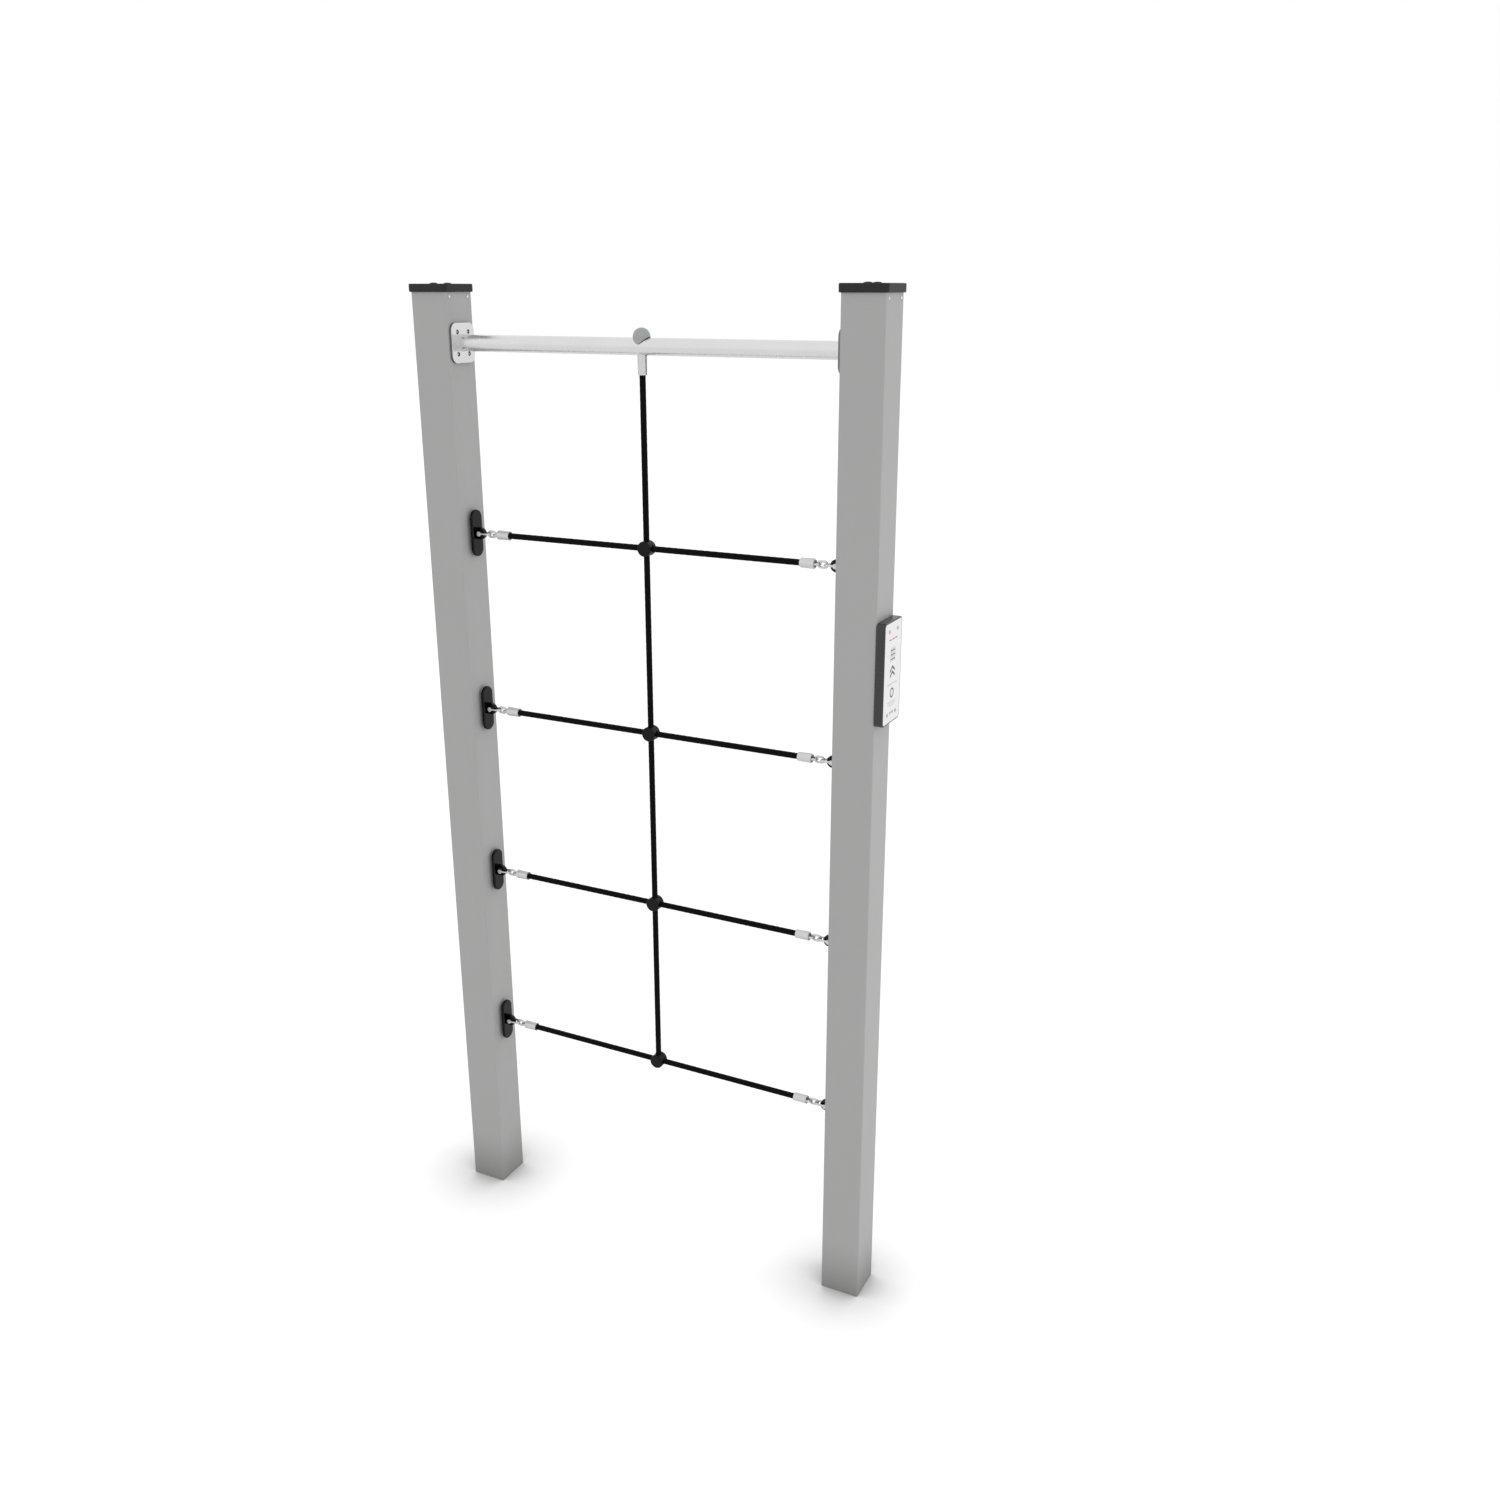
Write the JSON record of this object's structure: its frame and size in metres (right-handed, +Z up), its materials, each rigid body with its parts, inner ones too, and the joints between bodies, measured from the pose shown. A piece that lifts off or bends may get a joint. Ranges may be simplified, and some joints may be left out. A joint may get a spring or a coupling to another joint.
{
  "type": "climbing net station",
  "caption": "Outdoor fitness station: square grey posts, a steel pull-up bar and a taut black rope climbing net with shackles, clamps and a sign.",
  "frame": {"origin": "on the ground, midway between the two posts", "axes": "+X from the left post to the right post, +Z up, -Y towards the viewer's side; the net hangs in the plane Y = 0"},
  "size_m": [1.351, 0.122, 2.7056],
  "materials": {
    "post_paint": "satin silver-grey powder coat",
    "zinc_steel": "dull zinc plating",
    "cap_plastic": "fine-grained black plastic",
    "bar_steel": "bright finely ground stainless steel",
    "fastener_steel": "bright stainless steel",
    "grey_plastic": "mid-grey plastic",
    "ferrule_aluminium": "pressed aluminium",
    "packer_plastic": "black plastic",
    "case_plastic": "dark grey plastic",
    "panel_white": "white printed panel",
    "bracket_black": "glossy black coat",
    "rope_black": "black six-strand rope",
    "clamp_plastic": "black plastic",
    "link_steel": "polished stainless wire"
  },
  "bodies": {
    "frame": {"post_left": "post_paint", "foot_plate_left": "zinc_steel", "post_cap_left": "cap_plastic", "bar_flange_left": "bar_steel", "post_right": "post_paint", "foot_plate_right": "zinc_steel", "post_cap_right": "cap_plastic", "bar_flange_right": "bar_steel", "cap_plugs": "cap_plastic", "cap_screws": "fastener_steel", "pull_up_bar": "bar_steel", "flange_bolts": "fastener_steel", "rivet_nuts": "zinc_steel", "anchor_stud": "fastener_steel", "anchor_nut": "fastener_steel", "anchor_cap": "grey_plastic", "top_ferrule": "ferrule_aluminium", "bracket_packers": "packer_plastic", "bracket_nuts": "zinc_steel", "sign_case": "case_plastic", "sign_panel": "panel_white", "sign_screws": "fastener_steel", "rope_bracket_left_1": "bracket_black", "rope_bracket_right_1": "bracket_black", "rope_bracket_left_2": "bracket_black", "rope_bracket_right_2": "bracket_black", "rope_bracket_left_3": "bracket_black", "rope_bracket_right_3": "bracket_black", "rope_bracket_left_4": "bracket_black", "rope_bracket_right_4": "bracket_black"},
    "net": {"upright_rope": "rope_black", "crossing_clamp_1": "clamp_plastic", "crossing_clamp_2": "clamp_plastic", "crossing_clamp_3": "clamp_plastic", "crossing_clamp_4": "clamp_plastic"},
    "row_1_left": {"links_left_1": "link_steel", "ferrule_left_1": "ferrule_aluminium", "rope_left_1": "rope_black"},
    "row_1_right": {"links_right_1": "link_steel", "ferrule_right_1": "ferrule_aluminium", "rope_right_1": "rope_black"},
    "row_2_left": {"links_left_2": "link_steel", "ferrule_left_2": "ferrule_aluminium", "rope_left_2": "rope_black"},
    "row_2_right": {"links_right_2": "link_steel", "ferrule_right_2": "ferrule_aluminium", "rope_right_2": "rope_black"},
    "row_3_left": {"links_left_3": "link_steel", "ferrule_left_3": "ferrule_aluminium", "rope_left_3": "rope_black"},
    "row_3_right": {"links_right_3": "link_steel", "ferrule_right_3": "ferrule_aluminium", "rope_right_3": "rope_black"},
    "row_4_left": {"links_left_4": "link_steel", "ferrule_left_4": "ferrule_aluminium", "rope_left_4": "rope_black"},
    "row_4_right": {"links_right_4": "link_steel", "ferrule_right_4": "ferrule_aluminium", "rope_right_4": "rope_black"}
  },
  "joints": [
    {"name": "net_sway", "type": "hinge", "parent": "frame", "child": "net", "pos_m": [0, 0, 2.487], "axis": [1, 0, 0], "range_deg": [-1.5, 1.5], "stiffness_Nm_per_rad": 1000},
    {"name": "row_1_left_swing", "type": "hinge", "parent": "frame", "child": "row_1_left", "pos_m": [-0.5225, 0, 2.055], "axis": [0, 0, 1], "range_deg": [-1.32, 1.32]},
    {"name": "row_1_right_swing", "type": "hinge", "parent": "frame", "child": "row_1_right", "pos_m": [0.5315, 0, 2.055], "axis": [0, 0, 1], "range_deg": [-1.3, 1.3]},
    {"name": "row_2_left_swing", "type": "hinge", "parent": "frame", "child": "row_2_left", "pos_m": [-0.5225, 0, 1.555], "axis": [0, 0, 1], "range_deg": [-2.83, 2.83]},
    {"name": "row_2_right_swing", "type": "hinge", "parent": "frame", "child": "row_2_right", "pos_m": [0.5315, 0, 1.555], "axis": [0, 0, 1], "range_deg": [-2.78, 2.78]},
    {"name": "row_3_left_swing", "type": "hinge", "parent": "frame", "child": "row_3_left", "pos_m": [-0.5225, 0, 1.055], "axis": [0, 0, 1], "range_deg": [-4.33, 4.33]},
    {"name": "row_3_right_swing", "type": "hinge", "parent": "frame", "child": "row_3_right", "pos_m": [0.5315, 0, 1.055], "axis": [0, 0, 1], "range_deg": [-4.26, 4.26]},
    {"name": "row_4_left_swing", "type": "hinge", "parent": "frame", "child": "row_4_left", "pos_m": [-0.5225, 0, 0.555], "axis": [0, 0, 1], "range_deg": [-5.84, 5.84]},
    {"name": "row_4_right_swing", "type": "hinge", "parent": "frame", "child": "row_4_right", "pos_m": [0.5315, 0, 0.555], "axis": [0, 0, 1], "range_deg": [-5.74, 5.74]}
  ],
  "couplings": [
    {"joint": "row_1_left_swing", "follows": "net_sway", "ratio": 0.85039},
    {"joint": "row_1_right_swing", "follows": "net_sway", "ratio": -0.83559},
    {"joint": "row_2_left_swing", "follows": "net_sway", "ratio": 1.8346},
    {"joint": "row_2_right_swing", "follows": "net_sway", "ratio": -1.8027},
    {"joint": "row_3_left_swing", "follows": "net_sway", "ratio": 2.8189},
    {"joint": "row_3_right_swing", "follows": "net_sway", "ratio": -2.7698},
    {"joint": "row_4_left_swing", "follows": "net_sway", "ratio": 3.8032},
    {"joint": "row_4_right_swing", "follows": "net_sway", "ratio": -3.7369}
  ]
}
